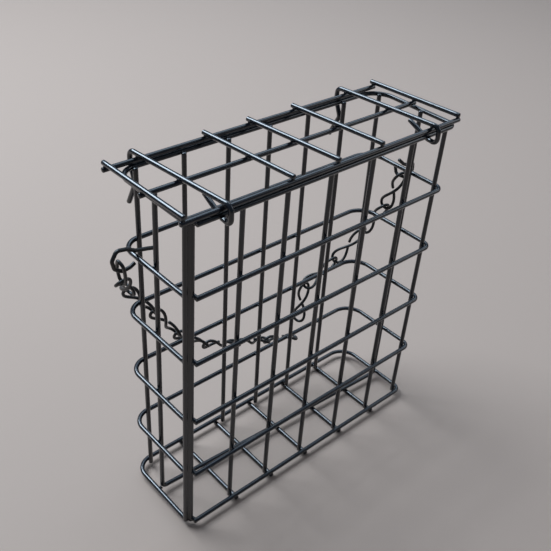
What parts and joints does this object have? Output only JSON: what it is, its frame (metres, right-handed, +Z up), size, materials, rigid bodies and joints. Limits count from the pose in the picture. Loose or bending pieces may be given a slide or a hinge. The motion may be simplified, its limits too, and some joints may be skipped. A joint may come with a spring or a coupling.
{
  "type": "wire suet cage bird feeder",
  "caption": "Flat hanging wire cage that holds a suet cake for birds: welded mesh box, hinged wire lid with snap clips, and a twisted-link hanging chain.",
  "frame": {"origin": "middle of the cage's underside, on the bottom facet of the middle floor wire", "axes": "+X along the long front, away from the two-wire corner post; +Y from the front to the back; +Z up"},
  "size_m": [0.1462, 0.0531, 0.1494],
  "materials": {
    "cage_wire": "glossy black dip coating on steel wire",
    "chain_wire": "black coating on thin steel wire"
  },
  "bodies": {
    "cage": {"ring_0": "cage_wire", "ring_1": "cage_wire", "ring_2": "cage_wire", "ring_3": "cage_wire", "ring_4": "cage_wire", "rim_ring": "cage_wire", "post_front_wire": "cage_wire", "post_side_wire": "cage_wire", "front_upright_1": "cage_wire", "front_upright_2": "cage_wire", "front_upright_3": "cage_wire", "front_upright_4": "cage_wire", "front_upright_5": "cage_wire", "front_upright_6": "cage_wire", "back_upright_1": "cage_wire", "back_upright_2": "cage_wire", "back_upright_3": "cage_wire", "back_upright_4": "cage_wire", "back_upright_5": "cage_wire", "back_upright_6": "cage_wire", "back_upright_7": "cage_wire", "mid_u_wire": "cage_wire", "floor_wire_1": "cage_wire", "floor_wire_2": "cage_wire", "floor_wire_3": "cage_wire", "floor_wire_4": "cage_wire", "floor_wire_5": "cage_wire"},
    "lid": {"lid_rail_front": "cage_wire", "lid_rail_middle": "cage_wire", "lid_rail_back": "cage_wire", "lid_cross_0": "cage_wire", "lid_cross_1": "cage_wire", "lid_cross_2": "cage_wire", "lid_cross_3": "cage_wire", "lid_cross_4": "cage_wire", "lid_hooked_wire_0": "cage_wire", "lid_hooked_wire_1": "cage_wire"},
    "hook_left": {"chain_hook_left": "chain_wire"},
    "link_01": {"chain_link_01": "chain_wire"},
    "link_02": {"chain_link_02": "chain_wire"},
    "link_03": {"chain_link_03": "chain_wire"},
    "link_04": {"chain_link_04": "chain_wire"},
    "link_05": {"chain_link_05": "chain_wire"},
    "link_06": {"chain_link_06": "chain_wire"},
    "link_07": {"chain_link_07": "chain_wire"},
    "link_08": {"chain_link_08": "chain_wire"},
    "hook_right": {"chain_hook_right": "chain_wire"},
    "link_13": {"chain_link_13": "chain_wire"},
    "link_12": {"chain_link_12": "chain_wire"},
    "link_11": {"chain_link_11": "chain_wire"},
    "link_10": {"chain_link_10": "chain_wire"},
    "link_09": {"chain_link_09": "chain_wire"}
  },
  "joints": [
    {"name": "lid_hinge", "type": "hinge", "parent": "cage", "child": "lid", "pos_m": [0, -0.0196, 0.1441], "axis": [1, 0, 0], "range_deg": [0, 180]},
    {"name": "hook_left_swing", "type": "hinge", "parent": "cage", "child": "hook_left", "pos_m": [-0.064, 0.0122, 0.1159], "axis": [0, 1, 0], "range_deg": [0, 45]},
    {"name": "link_01_swing", "type": "hinge", "parent": "hook_left", "child": "link_01", "pos_m": [-0.0709, 0.011, 0.1164], "axis": [0, 1, 0], "range_deg": [0, 15]},
    {"name": "link_02_swing", "type": "hinge", "parent": "link_01", "child": "link_02", "pos_m": [-0.0676, 0.0158, 0.1043], "axis": [-0.094, 0.934, 0.3448], "range_deg": [0, 15]},
    {"name": "link_03_swing", "type": "hinge", "parent": "link_02", "child": "link_03", "pos_m": [-0.0594, 0.0257, 0.0907], "axis": [-0.1865, 0.8444, 0.5022], "range_deg": [0, 15]},
    {"name": "link_04_swing", "type": "hinge", "parent": "link_03", "child": "link_04", "pos_m": [-0.0476, 0.0259, 0.0746], "axis": [0.1312, 0.9854, 0.1084], "range_deg": [0, 15]},
    {"name": "link_05_swing", "type": "hinge", "parent": "link_04", "child": "link_05", "pos_m": [-0.0365, 0.0259, 0.058], "axis": [0.1407, 0.9856, 0.0941], "range_deg": [0, 15]},
    {"name": "link_06_swing", "type": "hinge", "parent": "link_05", "child": "link_06", "pos_m": [-0.0215, 0.0259, 0.0449], "axis": [0.1076, 0.9865, 0.1232], "range_deg": [0, 15]},
    {"name": "link_07_swing", "type": "hinge", "parent": "link_06", "child": "link_07", "pos_m": [-0.0034, 0.0259, 0.0365], "axis": [0.0662, 0.9876, 0.1426], "range_deg": [0, 15]},
    {"name": "link_08_swing", "type": "hinge", "parent": "link_07", "child": "link_08", "pos_m": [0.015, 0.0259, 0.0289], "axis": [0.06, 0.9876, 0.1452], "range_deg": [0, 15]},
    {"name": "hook_right_swing", "type": "hinge", "parent": "cage", "child": "hook_right", "pos_m": [0.064, 0, 0.1159], "axis": [0, -1, 0], "range_deg": [0, 45]},
    {"name": "link_13_swing", "type": "hinge", "parent": "hook_right", "child": "link_13", "pos_m": [0.069, 0.0056, 0.109], "axis": [0, -1, 0], "range_deg": [0, 15]},
    {"name": "link_12_swing", "type": "hinge", "parent": "link_13", "child": "link_12", "pos_m": [0.069, 0.0119, 0.0901], "axis": [0, -0.9487, -0.3162], "range_deg": [0, 15]},
    {"name": "link_11_swing", "type": "hinge", "parent": "link_12", "child": "link_11", "pos_m": [0.0679, 0.0216, 0.0727], "axis": [-0.0104, -0.8737, -0.4864], "range_deg": [0, 15]},
    {"name": "link_10_swing", "type": "hinge", "parent": "link_11", "child": "link_10", "pos_m": [0.0552, 0.0259, 0.0579], "axis": [0.1051, -0.9272, -0.3596], "range_deg": [0, 15]},
    {"name": "link_09_swing", "type": "hinge", "parent": "link_10", "child": "link_09", "pos_m": [0.0365, 0.0259, 0.0509], "axis": [0.131, -0.9275, -0.35], "range_deg": [0, 15]}
  ]
}
